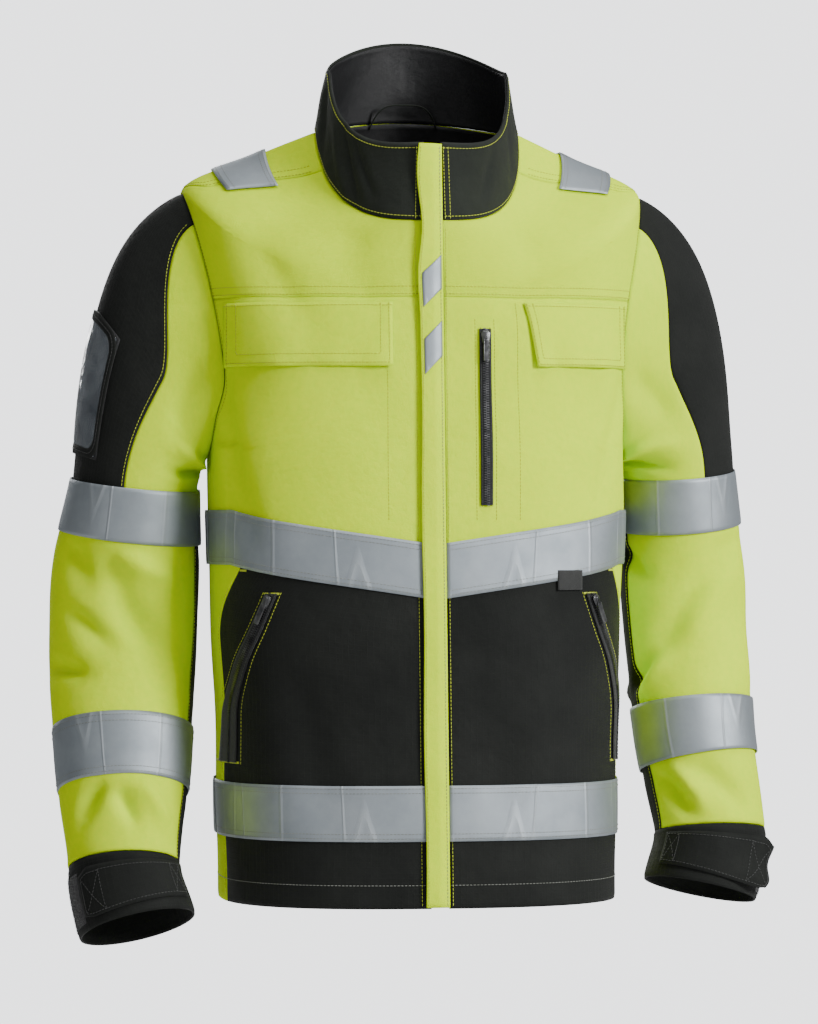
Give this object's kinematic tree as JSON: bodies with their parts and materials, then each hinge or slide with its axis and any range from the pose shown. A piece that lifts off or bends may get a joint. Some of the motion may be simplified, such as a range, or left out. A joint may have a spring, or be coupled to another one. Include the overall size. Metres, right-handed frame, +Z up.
{
  "type": "high visibility work jacket",
  "caption": "Two-tone high-visibility work jacket with reflective tape, stand collar, zip under a storm flap, flap and zip pockets and cuff tabs, hung from its loop.",
  "frame": {"origin": "top of the hang loop inside the back of the neck, where a hook bears", "axes": "+Z up as worn, -Y to the front, +X to the wearer's left"},
  "size_m": [0.67, 0.2962, 0.8419],
  "materials": {
    "hi_vis_twill": "fluorescent yellow twill",
    "black_ripstop": "black ripstop",
    "reflective_tape": "grey retroreflective tape",
    "dark_lining": "smooth dark lining",
    "zip_tape": "black woven zip tape",
    "zip_metal": "dark metal",
    "clear_vinyl": "clear vinyl",
    "plain_label": "plain woven label"
  },
  "bodies": {
    "root": {"back_lower": "black_ripstop", "back_panel": "hi_vis_twill", "back_yoke": "hi_vis_twill", "body_lining": "dark_lining", "chest_panel_l": "hi_vis_twill", "chest_panel_r": "hi_vis_twill", "chest_tape_back": "reflective_tape", "chest_tape_l": "reflective_tape", "chest_tape_r": "reflective_tape", "chest_zip": "zip_tape", "collar_lining": "dark_lining", "collar_outer": "black_ripstop", "front_yoke_l": "hi_vis_twill", "front_yoke_r": "hi_vis_twill", "front_zip_chain": "zip_metal", "front_zip_tape_l": "zip_tape", "front_zip_tape_r": "zip_tape", "hand_pocket_bag_l": "dark_lining", "hand_pocket_bag_r": "dark_lining", "hand_zip_l": "zip_tape", "hand_zip_r": "zip_tape", "hang_loop": "black_ripstop", "hem_tape_back": "reflective_tape", "hem_tape_l": "reflective_tape", "hem_tape_r": "reflective_tape", "lower_front_l": "black_ripstop", "lower_front_r": "black_ripstop", "shoulder_tape_l": "reflective_tape", "shoulder_tape_r": "reflective_tape", "side_label": "plain_label", "side_panel_l": "hi_vis_twill", "side_panel_r": "hi_vis_twill"},
    "storm_flap": {"chevron_lower": "reflective_tape", "chevron_upper": "reflective_tape", "storm_flap": "hi_vis_twill"},
    "chest_flap_r": {"chest_flap_r": "hi_vis_twill"},
    "chest_flap_l": {"chest_flap_l": "hi_vis_twill"},
    "front_zip_slider": {"front_zip_slider": "zip_metal"},
    "chest_zip_slider": {"chest_zip_slider": "zip_metal"},
    "chest_zip_puller": {"chest_zip_puller": "zip_metal"},
    "hand_zip_r_slider": {"hand_zip_r_slider": "zip_metal"},
    "hand_zip_r_puller": {"hand_zip_r_puller": "zip_metal"},
    "sleeve_r": {"cuff_r": "black_ripstop", "id_pocket_back": "black_ripstop", "id_pocket_window": "clear_vinyl", "lower_sleeve_r": "hi_vis_twill", "lower_sleeve_tape_r": "reflective_tape", "sleeve_panel_r": "black_ripstop", "upper_sleeve_r": "hi_vis_twill", "upper_sleeve_tape_r": "reflective_tape"},
    "cuff_tab_r": {"cuff_tab_r": "black_ripstop"},
    "hand_zip_l_slider": {"hand_zip_l_slider": "zip_metal"},
    "hand_zip_l_puller": {"hand_zip_l_puller": "zip_metal"},
    "sleeve_l": {"cuff_l": "black_ripstop", "lower_sleeve_l": "hi_vis_twill", "lower_sleeve_tape_l": "reflective_tape", "sleeve_panel_l": "black_ripstop", "upper_sleeve_l": "hi_vis_twill", "upper_sleeve_tape_l": "reflective_tape"},
    "cuff_tab_l": {"cuff_tab_l": "black_ripstop"}
  },
  "joints": [
    {"name": "storm_flap_fold", "type": "hinge", "parent": "root", "child": "storm_flap", "pos_m": [0.0085, -0.19962, -0.39178], "axis": [0, 0.0723, 0.9974], "range_deg": [0, 150]},
    {"name": "chest_flap_r_lift", "type": "hinge", "parent": "root", "child": "chest_flap_r", "pos_m": [-0.05019, -0.18269, -0.1958], "axis": [-1, 0, 0], "range_deg": [0, 150]},
    {"name": "chest_flap_l_lift", "type": "hinge", "parent": "root", "child": "chest_flap_l", "pos_m": [0.05019, -0.18269, -0.1958], "axis": [-1, 0, 0], "range_deg": [0, 150]},
    {"name": "front_zip_slide", "type": "slide", "parent": "root", "child": "front_zip_slider", "axis": [0, -0.0723, -0.9974], "range_m": [0, 0.6]},
    {"name": "chest_zip_slide", "type": "slide", "parent": "root", "child": "chest_zip_slider", "axis": [0, -0.0727, -0.9974], "range_m": [0, 0.135]},
    {"name": "chest_zip_pull", "type": "hinge", "parent": "chest_zip_slider", "child": "chest_zip_puller", "pos_m": [0.04696, -0.19017, -0.22394], "axis": [-0.9979, -0.0651, 0.0051], "range_deg": [0, 110]},
    {"name": "hand_zip_r_slide", "type": "slide", "parent": "root", "child": "hand_zip_r_slider", "axis": [-0.3401, 0.2734, -0.8998], "range_m": [0, 0.05]},
    {"name": "hand_zip_r_pull", "type": "hinge", "parent": "hand_zip_r_slider", "child": "hand_zip_r_puller", "pos_m": [-0.15274, -0.17535, -0.46392], "axis": [-0.6782, 0.5916, 0.4361], "range_deg": [0, 110]},
    {"name": "sleeve_r_lift", "type": "hinge", "parent": "root", "child": "sleeve_r", "pos_m": [-0.2125, -0.042, -0.082], "axis": [0, 1, 0], "range_deg": [0, 25]},
    {"name": "cuff_tab_r_open", "type": "hinge", "parent": "sleeve_r", "child": "cuff_tab_r", "pos_m": [-0.2245, -0.13567, -0.71691], "axis": [-0.2613, 0.3275, 0.908], "range_deg": [0, 100]},
    {"name": "hand_zip_l_slide", "type": "slide", "parent": "root", "child": "hand_zip_l_slider", "axis": [0.3401, 0.2734, -0.8998], "range_m": [0, 0.05]},
    {"name": "hand_zip_l_pull", "type": "hinge", "parent": "hand_zip_l_slider", "child": "hand_zip_l_puller", "pos_m": [0.15274, -0.17535, -0.46392], "axis": [-0.6782, -0.5916, -0.4361], "range_deg": [0, 110]},
    {"name": "sleeve_l_lift", "type": "hinge", "parent": "root", "child": "sleeve_l", "pos_m": [0.2125, -0.042, -0.082], "axis": [0, -1, 0], "range_deg": [0, 25]},
    {"name": "cuff_tab_l_open", "type": "hinge", "parent": "sleeve_l", "child": "cuff_tab_l", "pos_m": [0.23001, -0.09718, -0.69473], "axis": [-0.2689, -0.1639, -0.9491], "range_deg": [0, 100]}
  ]
}
